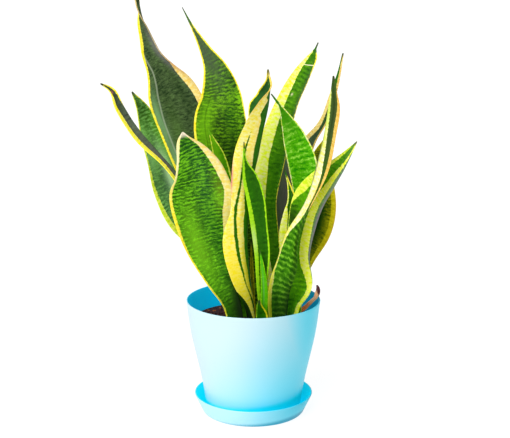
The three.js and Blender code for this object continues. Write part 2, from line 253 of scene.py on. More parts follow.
# How each blade is coloured. Widths are in mm and shares run from root to tip, 0 to 1.
# paint: its greens, see PAINTS below.
# bands: (mm from one cross band to the next, how strong, and how even where that isn't 0.3), and
# fade: how far they show, (share, strength).
# left, right: the yellow margins, (share, width), none where the width is below 0.
# margins: their colours, left and right. cap: the most that a margin takes of the half width.
# stripes: further yellow stripes, (edge, [(share, from, to)]) in mm from that edge.
# line: a thin line, (edge, [(share, mm from that edge)], half width, colour, strength), or one
# across the blade, ("across", (share at the left edge, share at the right edge), ...).
# glow: painted light that makes the yellow glow. tip: the colour of the dried point.
# dabs: soft patches on the green, and yellow_patches: soft patches on the yellow,
# (share, across from -1 to 1, half length, half width, colour, strength). Many of them are painted shade,
# sheen and highlights, as TINTS says of each colour.
COATS = {
    "leaf_tall_left": dict(
        paint="deep", bands=(4.6, 0.6, 0), margins=("gold", "tan"),
        left=[(0, 3), (0.3, 3), (0.6, 3), (0.7, 4), (0.78, 4), (1, 1)],
        right=[(0, 2), (0.3, 6), (0.43, 9.5), (0.51, 11.5), (0.54, 9.9), (0.57, 5.7), (0.6, 1.8),
               (1, 0.8)],
        # A painted highlight along a fold, as a thin light line.
        line=("left", [(0, 7), (0.34, 9.9), (0.39, 11), (0.45, 13), (0.52, 12.5), (0.59, 9), (0.68, 2)],
              1.0, "fold_highlight", 0.42),
        dabs=[
            (0.28, -0.8, 50, 6, "painted_sheen", 0.9),
            (0.42, -0.82, 34, 5, "painted_sheen", 0.7),
            (0.66, 0.75, 42, 6, "grey_sheen", 0.7),
            (0.52, 0.35, 40, 9, "painted_shade", 0.45),
            (0.40, 0.25, 60, 16, "painted_shade", 0.35),
            (0.42, -0.35, 46, 13, "painted_shade", 0.35),
            (0.35, -0.35, 40, 8, "leaf", 0.12),
            (0.95, 0, 30, 8, "painted_shade", 0.6),
        ],
        yellow_patches=[(0.7, 1, 60, 4, "grey_sheen", 0.7), (0.58, 1, 14, 5, "orange", 0.4)],
    ),
    "leaf_tall_middle": dict(
        paint="moss", bands=(4.8, 0.9, 0.3), fade=[(0.4, 1), (0.6, 1), (0.75, 0.4)],
        margins=("gold", "gold"),
        left=[(0, 2.5), (0.35, 3.2), (0.6, 2.8), (0.8, 2), (1, 0.8)],
        right=[(0, 1), (0.4, 1), (0.6, 1.6), (0.8, 1.6), (1, 0.6)],
        # Painted shade in a crease, as a thin dark line.
        line=("left", [(0, 16), (0.4, 16), (0.5, 14), (0.6, 12), (0.62, -9)], 0.9, "painted_shade", 0.35),
        dabs=[
            (0.80, -0.1, 60, 18, "smoke", 0.85),
            (0.47, -0.6, 40, 10, "leaf", 0.75),
            (0.33, -0.6, 26, 8, "leaf", 0.4),
            (0.38, 0.5, 42, 17, "painted_shade", 0.95),
            (0.46, 0.05, 26, 12, "painted_shade", 0.5),
            (0.55, 0.4, 36, 12, "pine", 0.45),
            (0.2, 0.2, 60, 20, "painted_shade", 0.75),
        ],
        yellow_patches=[(0.4, 1, 40, 4, "painted_sheen", 0.5)],
    ),
    "leaf_front_left": dict(
        paint="meadow", bands=(4.8, 0.9, 0.35), fade=[(0.1, 0.4), (0.3, 0.8), (0.48, 1)],
        margins=("gold", "cream"), tip="#f4e4cc",
        left=[(0, 1.4), (0.35, 2.4), (0.45, 4), (0.6, 3.6), (0.7, 2.6), (0.8, 3.2), (0.92, 4.6), (1, 1)],
        right=[(0, -1), (0.28, -1), (0.3, 0.8), (0.34, 9), (0.38, 14), (0.45, 15), (0.5, 13),
               (0.57, 11), (0.63, 11), (0.69, 11.2), (0.76, 9), (0.83, 5.4), (0.93, 2), (1, 0.8)],
        dabs=[
            (0.03, 0.1, 34, 18, "painted_shade", 0.85),
            (0.08, 0.8, 48, 13, "painted_shade", 1.0),
            (0.1, 1, 40, 8, "deep_shadow", 0.9),
            (0.30, 0.55, 45, 10, "pine", 0.5),
            (0.6, 0.15, 60, 14, "slate_green", 0.35),
            (0.36, -0.5, 52, 15, "painted_light_green", 0.5),
            (0.46, 0.2, 34, 14, "pine", 0.45),
            (0.55, 0.62, 26, 8, "lemon", 0.35),
            (0.86, 0, 18, 12, "pine", 0.4),
        ],
        yellow_patches=[
            (0.8, -1, 40, 8, "cream", 0.8),
            (0.74, 1, 50, 3, "ochre", 0.35),
            (1, 0, 5, 6, "cream", 0.9),
            (0.44, 1, 45, 20, "gold", 0.4),
        ],
    ),
    "leaf_far_left": dict(
        # glow: painted light on the yellow margin, which lies in shade.
        paint="slate", bands=(7, 0.3), margins=("lemon_gold", "gold"), cap=1.2, glow=0.3,
        left=[(0, 4), (0.44, 8), (0.53, 8), (0.7, 6), (0.82, 3), (0.875, 1.2), (1, 0.6)],
        right=[(0.7, -1), (0.8, 1), (0.86, 1.6), (1, 0.6)],
        dabs=[
            (0.48, 0.3, 80, 4, "grey_sheen", 0.5),
            (0.86, 0.2, 30, 6, "painted_shade", 0.6),
            (0.875, -0.3, 2.5, 2, "blush", 0.6),
        ],
    ),
    "leaf_back_left": dict(
        paint="jade", bands=(4.8, 0.85), margins=("citron", "gold"),
        left=[(0, 4), (0.3, 7), (0.42, 6), (0.53, 4), (0.62, 2), (0.8, 1.6), (1, 0.8)],
        right=[(0, 2), (1, 1)],
        dabs=[
            (0.68, -0.6, 45, 6, "leaf", 0.5),
            (0.45, -0.2, 60, 16, "slate", 0.5),
            (0.56, 0.1, 36, 6, "pale_painted_sheen", 1.0),
            (0.66, -0.7, 30, 6, "painted_sheen", 0.6),
            (0.72, 0.55, 50, 9, "leaf", 0.4),
            (0.9, 0, 26, 8, "painted_shade", 0.6),
        ],
    ),
    "leaf_small_left": dict(
        paint="clover", bands=(7, 0.3), margins=("citron", "citron"), tip="#6cae1c",
        left=[(0, 1), (1, 0.8)],
        right=[(0, 1), (0.7, 1.8), (1, 0.6)],
        dabs=[(0.65, 0.5, 50, 5, "pine", 0.5), (0.8, -0.4, 60, 5, "leaf", 0.8)],
    ),
    "leaf_folded": dict(
        paint="pine", bands=(8, 0.2), margins=("gold", "lemon_cream"), cap=2,
        left=[(0, 1), (0.6, 2), (0.8, 2.5), (1, 0.8)],
        right=[(0, -1), (0.155, -1), (0.165, 15.6), (0.19, 16.5), (0.27, 16.4), (0.305, 12), (0.338, 6.3),
               (0.372, 4), (0.403, 7.2), (0.435, 11.3), (0.5, 12.7), (0.54, 11.6), (0.59, 11.6),
               (0.62, 10.9), (0.7, 9), (0.78, 7), (0.82, 4), (1, 1)],
        stripes=[("right", [
            (0.05, 12, 13), (0.155, 16.4, 20.7), (0.19, 19, 24.9), (0.245, 20.9, 28.2), (0.273, 20.7, 29.3),
            (0.305, 16.1, 25.2), (0.338, 9.9, 19.7), (0.372, 8, 18), (0.403, 10.8, 17.3), (0.435, 14, 18.5),
            (0.5, 17, 27), (0.54, 14.6, 25.1), (0.59, 13.6, 23.5), (0.62, 12.2, 22.5), (0.645, 9, 21.5),
            (0.67, 8, 21), (0.7, 7, 15.9), (0.78, 6, 16.7), (0.8, 6, 9), (0.84, 3, 4), (0.95, 2, 2),
        ]), ("right", [
            (0, 7, 10), (0.05, 7, 10), (0.08, 6, 11), (0.1, 4.7, 11.5), (0.125, 2.6, 13.3), (0.15, -1, 14.7),
            (0.19, -1, 16.5), (0.195, 8, 8), (1, 8, 8),
        ])],
        dabs=[(0.8, -0.5, 90, 16, "slate_green", 0.5), (0.06, 1, 46, 11, "deep_shadow", 1.0)],
        yellow_patches=[
            (0.62, 0.3, 70, 8, "tan", 0.45),
            (0.2, 0.12, 60, 8, "gold_in_shade", 0.95),
            (0.36, 0.4, 24, 3, "gold_in_shade", 0.5),
            (0.18, 0.75, 70, 14, "yolk", 0.8),
            (0.45, 1, 18, 1.8, "blush", 1.0),
            (0.82, 1, 26, 3, "ochre", 0.6),
        ],
    ),
    "leaf_tall_right": dict(
        paint="fresh", bands=(6, 0.35), margins=("lemon_lime", "gold"), cap=2,
        line=("across", (0.6795, 0.705), 0.6, "cream", 0.8),
        left=[(0, 6), (0.25, 12), (0.34, 18), (0.42, 17), (0.49, 14), (0.56, 11.1), (0.6, 9.6), (0.68, 5),
              (0.76, 2), (0.82, 0.8), (0.84, -1)],
        right=[(0, 0.6), (0.66, 0.6), (0.76, 1.5), (0.8, 0.6), (0.82, -1)],
        dabs=[
            (0.54, 1, 70, 2.2, "grey_sheen", 0.8),
            (0.56, 0.8, 70, 3.5, "painted_shade", 0.5),
            (0.3, 0.6, 60, 10, "pine", 0.5),
            (0.76, 0.3, 22, 7, "pine", 0.5),
            (0.568, 0.07, 1.7, 1.2, "cream", 0.9),
        ],
        yellow_patches=[(0.3, -0.3, 60, 8, "leaf", 0.18), (0.5, -1, 90, 3, "gold", 0.5)],
    ),
    "leaf_middle": dict(
        paint="bright", bands=(7, 0.52), fade=[(0.35, 0.5), (0.5, 1), (0.7, 0.8), (0.8, 0.3)],
        margins=("lime", "lime"),
        left=[(0, 1.0), (0.6, 1.3), (1, 0.5)],
        right=[(0, 1.2), (0.6, 1.7), (1, 0.6)],
        dabs=[(0.3, 0, 50, 12, "pine", 0.5), (0.93, 0, 14, 8, "painted_shade", 0.6), (0.78, 0, 26, 10, "pine", 0.5)],
    ),
    "leaf_front_right": dict(
        paint="banded", bands=(7.3, 0.3, 1.0), fade=[(0.42, 1), (0.55, 0.25), (1, 0.2)],
        margins=("pale", "amber"), cap=2,
        left=[(0, 4.2), (0.13, 4.2), (0.16, 1.8), (0.25, 1.8), (0.31, 3.5), (0.36, 8), (0.4, 11),
              (0.47, 14), (0.53, 12), (0.59, 8), (0.68, 5.2), (0.81, 2.4), (0.9, 0.8), (0.94, -1)],
        right=[(0.4, -1), (0.48, 2), (0.56, 5), (0.64, 8), (0.73, 8), (0.8, 5), (0.86, 2), (0.93, -1)],
        dabs=[
            (0.75, 0, 90, 16, "olive_dark", 0.95),
            (0.78, -0.25, 70, 2.5, "painted_shade", 0.6),
            (0.52, 0.2, 34, 12, "painted_shade", 0.5),
            (0.3, 0.75, 60, 6, "painted_shade", 0.75),
            (0.06, 1, 60, 8, "painted_shade", 1.0),
            (0.05, 0, 42, 18, "painted_shade", 0.85),
        ],
        yellow_patches=[
            (0.1, -1, 70, 5, "olive_gold", 0.95),
            (0.06, -0.75, 40, 5, "gold_in_shade", 1.0),
            (0.3, -1, 20, 3, "gold", 0.6),
            (0.75, -1, 50, 6, "lime", 0.75),
            (0.78, 1, 60, 3, "ochre", 0.5),
            # Painted shade along the left edge.
            (0.56, -1, 55, 1.7, "olive_dark", 1.0),
        ],
    ),
    "leaf_broad_right": dict(
        # glow: a little painted light on the yellow margin, which lies in shade.
        paint="clover", bands=(6.5, 0.4), margins=("citron", "lemon"), cap=2, glow=0.06,
        left=[(0, 0.5), (0.52, 0.5), (0.55, 5), (0.58, 10.5), (0.63, 10.6), (0.7, 5), (0.8, 4), (0.9, 2),
              (0.96, 0.3), (1, -1)],
        right=[(0, 2), (0.2, 1), (0.21, -3), (0.9, -3), (0.91, 1), (1, 0.6)],
        stripes=[("right", [
            (0, 1, 5), (0.12, 1, 5), (0.21, 0, 6), (0.29, 1, 13), (0.4, 3, 15), (0.5, 5.5, 15),
            (0.62, 5, 13.5), (0.73, 4, 9.7), (0.85, 1, 3), (0.92, 0, 1),
        ])],
        dabs=[
            (0.5, 1, 110, 4.5, "pale_grey_sheen", 0.95),
            (0.84, 0.2, 34, 8, "pine", 0.45),
            (0.48, -0.8, 20, 12, "painted_shade", 0.9),
        ],
        yellow_patches=[(0.68, 0.5, 40, 14, "gold_in_shade", 0.4)],
    ),
    "leaf_back_bulging": dict(
        paint="olive", bands=(4.6, 0.6), margins=("olive_gold", "olive_gold"),
        left=[(0, 1), (1, 0.6)],
        right=[(0, 4), (0.3, 6), (0.5, 7), (0.65, 6.5), (0.9, 3), (1, 1)],
        dabs=[
            (0.5, 0.05, 70, 11, "pine", 1.0),
            (0.5, -0.2, 70, 10, "painted_shade", 1.0),
            (0.7, -0.4, 40, 10, "painted_shade", 0.7),
        ],
        yellow_patches=[(0.5, 1, 60, 1.6, "ochre", 0.5)],
    ),
    "leaf_back_right": dict(
        paint="pine", bands=(6, 0.3), margins=("tan", "tan_gold"), cap=1.3,
        left=[(0.53, -1), (0.58, 3), (0.62, 7), (0.7, 9), (0.8, 5), (0.86, 1), (0.9, -1)],
        right=[(0.53, -1), (0.58, 3), (0.64, 4), (0.8, 5), (0.88, 6), (0.95, 4), (0.985, 1), (1, -1)],
        dabs=[(0.4, 0, 95, 30, "grey_sheen", 0.9), (0.7, 0, 50, 8, "painted_shade", 0.6)],
        yellow_patches=[(0.72, 1, 50, 2.5, "ochre", 0.6)],
    ),
    "leaf_small_middle": dict(
        paint="pine", bands=(7, 0.3), margins=("lemon_lime", "gold"), cap=2,
        left=[(0, 10), (0.45, 10), (0.56, 6.5), (0.62, 3), (0.66, 1.3), (0.85, 1.2), (0.95, 0.3), (1, -1)],
        right=[(0, 1), (0.45, 1.3), (0.6, 1.8), (0.85, 1.2), (0.95, 0.3), (1, -1)],
        dabs=[(0.55, 0.2, 20, 1.2, "painted_sheen", 0.5)],
    ),
    "leaf_dark_middle": dict(
        paint="pine", bands=(7, 0.3), margins=("apple", "apple"), cap=2,
        left=[(0, 2.5), (0.3, 5), (0.42, 5.5), (0.57, 4.6), (0.73, 3.4), (0.9, 1.5), (1, 0.3)],
        right=[(0, 2), (0.6, 1.7), (0.85, 1.2), (0.95, 0.4), (1, -1)],
        dabs=[(0.6, 0.4, 60, 7, "painted_shade", 0.45), (0.2, 0.3, 40, 7, "painted_shade", 0.5)],
        yellow_patches=[(0.36, -0.8, 14, 2.5, "cream", 0.35), (0.9, -0.5, 30, 5, "leaf", 0.5)],
    ),
    "leaf_young_strip": dict(
        paint="bright", bands=(7, 0.2), margins=("apple", "apple"),
        left=[(0, 0.4), (1, 0.3)],
        right=[(0, 0.4), (1, 0.3)],
        dabs=[(0.4, -0.2, 24, 1, "highlight_mint", 0.25)],
    ),
    "leaf_base_sheath": dict(
        paint="pine", bands=(7, 0.3), margins=("apple", "olive_gold"),
        left=[(0, 0.6), (1, 0.4)],
        right=[(0, 2), (0.7, 1.5), (1, 0.6)],
    ),
    "leaf_young_olive": dict(
        paint="olive", bands=(7, 0.3), margins=("olive_gold", "olive_gold"),
        left=[(0, 0.8), (1, 0.4)],
        right=[(0, 0.8), (1, 0.4)],
    ),
}

# Every blade, in mm: how thick its middle is at the root and at the tip, and how thick its edges
# are. keel: how round its middle is, as a share of the half width. Where the half width is below
# narrow, the blade gets thinner and its waves fade.
BLADE = dict(root=3.4, tip=1.8, edge=1.0, keel=0.25, wave_length=85, narrow=8)
# A living edge is thinner than the solid's: this much comes off the half width, all of it from
# full_at up, and the half width that stays is never below least.
TRIM = dict(off=0.5, full_at=6, least=0.3)
GRID = dict(rows=8, columns=16)  # faces along each stretch between two stations, and across
LENGTH_STEPS = 400  # short straight steps in which a blade's length is measured

MARGIN_CAP = 0.36  # a margin takes no more of the half width than this, unless cap says so
GREEN_TIP = dict(below=2, slope=2)  # each mm of half width under below takes slope mm off a margin
ALL_GREEN = -50.0  # the depth inside a yellow stripe of a point that is far from all of them
# The noise patterns on a blade, in cells to a mm across it and along it.
PATTERNS = dict(
    streak=(1.1, 0.03), fine=(0.7, 0.9), ripple=(0.16, 0.3), zigzag=(0.2, 0.08), cloud=(0.05, 0.035),
)
BAND_CELLS = 0.14  # cells to a mm of the cross bands, across the blade
PATTERN_STEP = 37.0  # mm from the patch of the patterns on one leaf to the patch on the next

# Colours, as they look on a screen. Greens are light, middle and dark, and yellows rich and pale.
PAINTS = {
    # deep is darker partly as painted shade, for a blade that stands in shade.
    "deep": ("#5f7c45", "#485c36", "#24381e"),
    "moss": ("#7cbc10", "#4a7c0c", "#1a3a04"),
    "meadow": ("#7acc1c", "#448a10", "#104606"),
    "bright": ("#a4e84c", "#56b800", "#228a00"),
    "fresh": ("#72b410", "#468804", "#205400"),
    "clover": ("#74c800", "#56a400", "#2a7000"),
    "pine": ("#3f8600", "#266800", "#124400"),
    "slate": ("#74846a", "#586850", "#344032"),
    "jade": ("#80c060", "#569040", "#285820"),
    "banded": ("#80c02c", "#3a7a04", "#164e02"),
    "olive": ("#c4bc10", "#a4a408", "#54620a"),
}
MARGINS = {
    "gold": ("#f6dc14", "#faf050"),
    "lemon_cream": ("#f8e63c", "#fcf6a0"),
    "cream": ("#f8e070", "#fdf2b8"),
    "tan": ("#f2cc60", "#f8e498"),
    "pale": ("#eae878", "#fbf8cc"),
    "lime": ("#dcf030", "#f6fcb4"),
    "apple": ("#8cd010", "#a8dc1c"),
    "citron": ("#c4e020", "#e8f060"),
    "lemon": ("#f0fc14", "#fbff7c"),
    "lemon_lime": ("#f0ff20", "#ffffa4"),
    "lemon_gold": ("#fff010", "#fff668"),
    "tan_gold": ("#e4b850", "#f2dc88"),
    "amber": ("#e0b048", "#eed070"),
    "olive_gold": ("#d4c404", "#ecdc24"),
}
TINTS = {
    # Painted light: a whitish-green sheen, a paler sheen, and a highlight along a fold.
    "painted_sheen": "#8cc080",
    "pale_painted_sheen": "#b4dca4",
    "fold_highlight": "#b4c0a4",
    "smoke": "#4a5444",
    # Painted reflection: the grey sheen of the white surroundings on blades turned from the light.
    "grey_sheen": "#787078",
    "pale_grey_sheen": "#8e828e",
    "lime": "#c8e428",
    "gold": "#f6e42c",
    "yolk": "#fbe000",
    "ochre": "#dca030",
    # Painted shade: dark green where shade falls, at the roots and between blades, and near black in the
    # deepest gaps.
    "painted_shade": "#122c04",
    "deep_shadow": "#0e0e0a",
    "pine": "#1a5806",
    "leaf": "#78c014",
    # Painted light: a lit green, and a pale painted highlight along a young blade.
    "painted_light_green": "#9cee24",
    "highlight_mint": "#a8e0a0",
    "lemon": "#a8cc24",
    "slate": "#5c7c60",
    "slate_green": "#2c4c3c",
    # A dull dark olive. Along the left edge of leaf_front_right it is painted shade.
    "olive_dark": "#48542e",
    "blush": "#e07884",
    "tan": "#f0cc78",
    "cream": "#fdf3c4",
    "orange": "#e09040",
    # Painted shade on the yellow margins and stripes.
    "gold_in_shade": "#969a0c",
    "olive_gold": "#c8be10",
}
GREEN_STREAK = "#203c0c"
YELLOW_STREAK = "#c4c41c"
DRIED_POINT = "#3c4424"


def rgb(code):
    """A screen colour such as #f4ee4a as the linear colour that a shader takes."""
    channels = [int(code[i:i + 2], 16) / 255 for i in (1, 3, 5)]
    linear = [c / 12.92 if c <= 0.04045 else ((c + 0.055) / 1.055) ** 2.4 for c in channels]
    return (*linear, 1)


# ------------------------------------------------------------------ working by hand

def deselect():
    if bpy.context.object and bpy.context.object.mode != "OBJECT":
        bpy.ops.object.mode_set(mode="OBJECT")
    bpy.ops.object.select_all(action="DESELECT")


def pick(piece):
    """Makes this piece the only one that the next operator works on."""
    deselect()
    bpy.context.view_layer.objects.active = piece
    piece.select_set(True)


def apply_modifier(piece, kind, **settings):
    pick(piece)
    modifier = piece.modifiers.new(kind.title(), kind)
    for key, value in settings.items():
        setattr(modifier, key, value)
    bpy.ops.object.modifier_apply(modifier=modifier.name)


def smooth(piece, angle):
    """Smooth shading, apart from edges sharper than this angle in degrees."""
    pick(piece)
    bpy.ops.object.shade_smooth_by_angle(angle=math.radians(angle))


def dress(piece, node, material):
    """Gives a finished piece its material and puts it in the place of a CAD node."""
    piece.data.materials.clear()
    piece.data.materials.append(material)
    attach(piece, BODY)
    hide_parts(node)


def write_attribute(piece, name, kind, values):
    """Writes one value, vector or colour for each of the piece's vertices."""
    layer = piece.data.attributes.new(name, kind, "POINT")
    key = {"FLOAT": "value", "FLOAT_VECTOR": "vector", "FLOAT_COLOR": "color"}[kind]
    layer.data.foreach_set(key, np.asarray(values, np.float32).ravel())


# ------------------------------------------------------------------ shader helpers

class Shader:
    """A material's nodes, added one after the other."""

    def __init__(self, name):
        self.material = bpy.data.materials.new(name)
        self.material.use_nodes = True
        self.tree = self.material.node_tree
        self.surface = self.tree.nodes["Principled BSDF"]

    def add(self, kind, inputs=None, **settings):
        node = self.tree.nodes.new("ShaderNode" + kind)
        for key, value in settings.items():
            setattr(node, key, value)
        for key, value in (inputs or {}).items():
            self.put(node.inputs[key], value)
        return node

    def put(self, socket, value):
        if isinstance(value, bpy.types.NodeSocket):
            self.tree.links.new(value, socket)
        else:
            socket.default_value = value

    def attribute(self, name, output="Fac"):
        return self.add("Attribute", attribute_name=name).outputs[output]

    def object_place(self):
        """The place on the piece, in metres."""
        return self.add("TexCoord").outputs["Object"]

    def sums(self, operation, first, second=0.0):
        return self.add("Math", {0: first, 1: second}, operation=operation).outputs[0]

    def plus(self, first, second):
        return self.sums("ADD", first, second)

    def minus(self, first, second):
        return self.sums("SUBTRACT", first, second)

    def times(self, first, second):
        return self.sums("MULTIPLY", first, second)

    def ramp(self, value, low, high, to_low=0.0, to_high=1.0):
        node = self.add("MapRange", {0: value, 1: low, 2: high, 3: to_low, 4: to_high})
        node.interpolation_type = "SMOOTHSTEP"
        return node.outputs[0]

    def ramp_mm(self, value, span, to_low=0.0, to_high=1.0):
        """The same for a value in metres, between the two ends of a span in mm."""
        return self.ramp(value, span[0] * MM, span[1] * MM, to_low, to_high)

    def mix(self, factor, first, second):
        node = self.add("Mix", data_type="RGBA")
        for socket, value in ((0, factor), (6, first), (7, second)):
            self.put(node.inputs[socket], value)
        return node.outputs[2]

    def stretched(self, place, x, y, z=1.0):
        """The place scaled along each axis, so that noise on it has this many cells to its unit."""
        return self.add("VectorMath", {0: place, 1: (x, y, z)}, operation="MULTIPLY").outputs[0]

    def noise(self, place, scale=1.0, detail=2.0, roughness=0.5):
        node = self.add("TexNoise", {
            "Vector": place, "Scale": scale, "Detail": detail, "Roughness": roughness,
        })
        return node.outputs["Fac"]

    def finish(self, colour, roughness, shine):
        self.put(self.surface.inputs["Base Color"], colour)
        self.put(self.surface.inputs["Roughness"], roughness)
        self.put(self.surface.inputs["Specular IOR Level"], shine)

    def glow(self, colour, strength):
        """Light that comes out of a surface that is no lamp: painted light on blades, plastic and the dead
        leaf, and the even white of the floor.
        """
        self.put(self.surface.inputs["Emission Color"], colour)
        self.put(self.surface.inputs["Emission Strength"], strength)

    def bump(self, height, strength, depth):
        """Fine relief, at most depth deep, in mm."""
        node = self.add("Bump", {"Height": height, "Strength": strength, "Distance": depth * MM})
        self.put(self.surface.inputs["Normal"], node.outputs[0])


# ------------------------------------------------------------------ the shape of a blade

def spline(table, along):
    """The place and slope of a Catmull-Rom curve through the rows of table, for along 0 to 1."""
    table = np.asarray(table, float)
    ends = np.vstack([2 * table[0] - table[1], table, 2 * table[-1] - table[-2]])
    place = np.clip(along, 0, 1) * (len(table) - 1)
    first = np.minimum(place.astype(int), len(table) - 2)
    part = (place - first)[:, None]
    before, start, end, after = (ends[first + i] for i in range(4))
    slope_in = (end - before) / 2
    slope_out = (after - start) / 2
    cube = 2 * (start - end) + slope_in + slope_out
    square = 3 * (end - start) - 2 * slope_in - slope_out
    places = ((cube * part + square) * part + slope_in) * part + start
    return places, (3 * cube * part + 2 * square) * part + slope_in


def unit(vectors):
    return vectors / np.linalg.norm(vectors, axis=1)[:, None]


def spine(leaf, along):
    """The places and slopes of the blade's middle line."""
    return spline([row[:3] for row in leaf["stations"]], along)


def section(leaf, along):
    """The half width, turn and fold of the solid's blade, as three columns."""
    return spline([row[3:] for row in leaf["stations"]], along)[0]


def lengths(leaf, along):
    """How far along the blade each share of its length lies, in mm."""
    steps = np.linspace(0, 1, LENGTH_STEPS)
    middle, _ = spine(leaf, steps)
    gone = np.concatenate([[0], np.cumsum(np.linalg.norm(np.diff(middle, axis=0), axis=1))])
    return np.interp(along, steps, gone)


def half_widths(leaf, along):
    """Half the width of the living blade, in mm."""
    half_width = section(leaf, along)[:, 0]
    return np.maximum(half_width - TRIM["off"] * np.minimum(1, half_width / TRIM["full_at"]), TRIM["least"])


def fullness(half_width):
    """1 where the blade is wide, and less as it narrows to its tip."""
    return np.minimum(1, half_width / BLADE["narrow"])


def blade_places(leaf, across, along):
    """The middle surface of a blade, in mm, for across -1 to 1 and along 0 to 1."""
    middle, slope = spine(leaf, along)
    half_width = half_widths(leaf, along)
    turn, fold = np.radians(section(leaf, along)[:, 1:]).T
    tangent = unit(slope)
    width = np.stack([np.cos(turn), np.sin(turn), np.zeros_like(turn)], axis=1)
    width = unit(width - (width * tangent).sum(1)[:, None] * tangent)
    face = np.cross(width, tangent)
    waves = np.sin(lengths(leaf, along) / BLADE["wave_length"] * 2 * np.pi)
    lift = leaf["wave"] * fullness(half_width) * waves
    keel = BLADE["keel"] * half_width
    reach = across * half_width
    side = reach * np.cos(fold)
    up = (np.hypot(reach, keel) - keel) * np.sin(fold) + lift * across ** 3
    return middle + width * side[:, None] + face * up[:, None]


def blade_depths(leaf, across, along):
    """How thick the blade is, in mm."""
    edge = BLADE["edge"]
    middle = BLADE["root"] + (BLADE["tip"] - BLADE["root"]) * along
    middle = edge + (middle - edge) * fullness(half_widths(leaf, along))
    return middle * (1 - across ** 2) + edge * across ** 2


def blade_mesh(name, leaf, rows, columns):
    """A grid laid on the blade's middle surface, thickened to both sides and rounded."""
    deselect()
    bpy.ops.mesh.primitive_grid_add(x_subdivisions=columns, y_subdivisions=rows, size=2)
    piece = bpy.context.object
    piece.name = name
    flat = np.zeros(len(piece.data.vertices) * 3)
    piece.data.vertices.foreach_get("co", flat)
    flat = flat.reshape(-1, 3)
    across, along = flat[:, 0], (flat[:, 1] + 1) / 2
    piece.data.vertices.foreach_set("co", (blade_places(leaf, across, along) * MM).ravel())
    thickness = piece.vertex_groups.new(name="thickness")
    for index, depth in enumerate(blade_depths(leaf, across, along)):
        thickness.add([index], depth / BLADE["root"], "REPLACE")
    apply_modifier(
        piece, "SOLIDIFY", thickness=BLADE["root"] * MM, offset=0.0, vertex_group="thickness",
    )
    apply_modifier(piece, "SUBSURF", levels=1, render_levels=1)
    smooth(piece, 60)
    return piece


def blade_coordinates(piece):
    """Across and along for each vertex, read from the blade's own UV map."""
    mesh = piece.data
    corners = np.zeros(len(mesh.loops), int)
    mesh.loops.foreach_get("vertex_index", corners)
    flat = np.zeros(len(mesh.loops) * 2)
    mesh.uv_layers.active.data.foreach_get("uv", flat)
    place = np.zeros((len(mesh.vertices), 2))
    place[corners] = flat.reshape(-1, 2)
    return place[:, 0] * 2 - 1, place[:, 1]


# ------------------------------------------------------------------ the pattern of a blade

def stripe_depths(leaf, across, along):
    """How deep each point lies inside a yellow stripe, in mm; below 0 is green."""
    half_width = half_widths(leaf, along)
    from_edge = {"left": (across + 1) * half_width, "right": (1 - across) * half_width}
    narrowing = GREEN_TIP["slope"] * np.maximum(0, GREEN_TIP["below"] - half_width)
    widest = leaf.get("cap", MARGIN_CAP) * half_width - narrowing
    depth = np.full(len(across), ALL_GREEN)
    for side in ("left", "right"):
        margin = np.minimum(np.interp(along, *zip(*leaf[side])), widest)
        depth = np.maximum(depth, margin - from_edge[side])
    for side, rows in leaf.get("stripes", ()):
        shares, start, end = zip(*rows)
        inside = from_edge[side] - np.interp(along, shares, start)
        outside = np.interp(along, shares, end) - from_edge[side]
        depth = np.maximum(depth, np.minimum(inside, outside))
    return depth


def line_depths(leaf, across, along):
    """How far each point lies to one side of the blade's thin line, in mm."""
    side, rows = leaf["line"][:2]
    if side == "across":
        return lengths(leaf, along) - np.interp(across, [-1, 1], lengths(leaf, np.array(rows)))
    edge = (1 + across if side == "left" else 1 - across) * half_widths(leaf, along)
    return edge - np.interp(along, *zip(*rows))


def soft_patches(leaf, patches, across, along):
    """Soft patches of colour, laid over one another, and how far they cover what is under them."""
    half_width = half_widths(leaf, along)
    run = lengths(leaf, along)
    colour = np.zeros((len(across), 3))
    cover = np.zeros(len(across))
    for share, centre, half_length, reach, name, strength in patches:
        lengthwise = (run - lengths(leaf, np.array([share]))) / half_length
        sideways = (across - centre) * half_width / reach
        weight = strength * np.exp(-(lengthwise ** 2 + sideways ** 2))
        colour = colour * (1 - weight[:, None]) + np.array(rgb(TINTS[name])[:3]) * weight[:, None]
        cover = cover * (1 - weight) + weight
    shown = colour / np.maximum(cover, 1e-4)[:, None]
    return np.column_stack([shown, np.ones(len(across))]), cover


def make_leaf(name, leaf, number):
    rows = (len(leaf["stations"]) - 1) * GRID["rows"]
    piece = blade_mesh(name + "_blade", leaf, rows, GRID["columns"])
    across, along = blade_coordinates(piece)
    run = lengths(leaf, along)
    patch = np.full(len(run), number * PATTERN_STEP)
    place = np.column_stack([across * half_widths(leaf, along), run, patch])
    write_attribute(piece, "place", "FLOAT_VECTOR", place)
    write_attribute(piece, "across", "FLOAT", across)
    write_attribute(piece, "banding", "FLOAT", np.interp(along, *zip(*leaf.get("fade", [(0, 1)]))))
    write_attribute(piece, "stripe", "FLOAT", stripe_depths(leaf, across, along))
    if "line" in leaf:
        write_attribute(piece, "line", "FLOAT", line_depths(leaf, across, along))
    for key in ("dabs", "yellow_patches"):
        colour, cover = soft_patches(leaf, leaf.get(key, ()), across, along)
        write_attribute(piece, key, "FLOAT_COLOR", colour)
        write_attribute(piece, key + "_cover", "FLOAT", cover)
    write_attribute(piece, "to_tip", "FLOAT", lengths(leaf, np.array([1.0])) - run)
    dress(piece, name, leaf_skin(name, leaf))


# ------------------------------------------------------------------ the skin of a blade

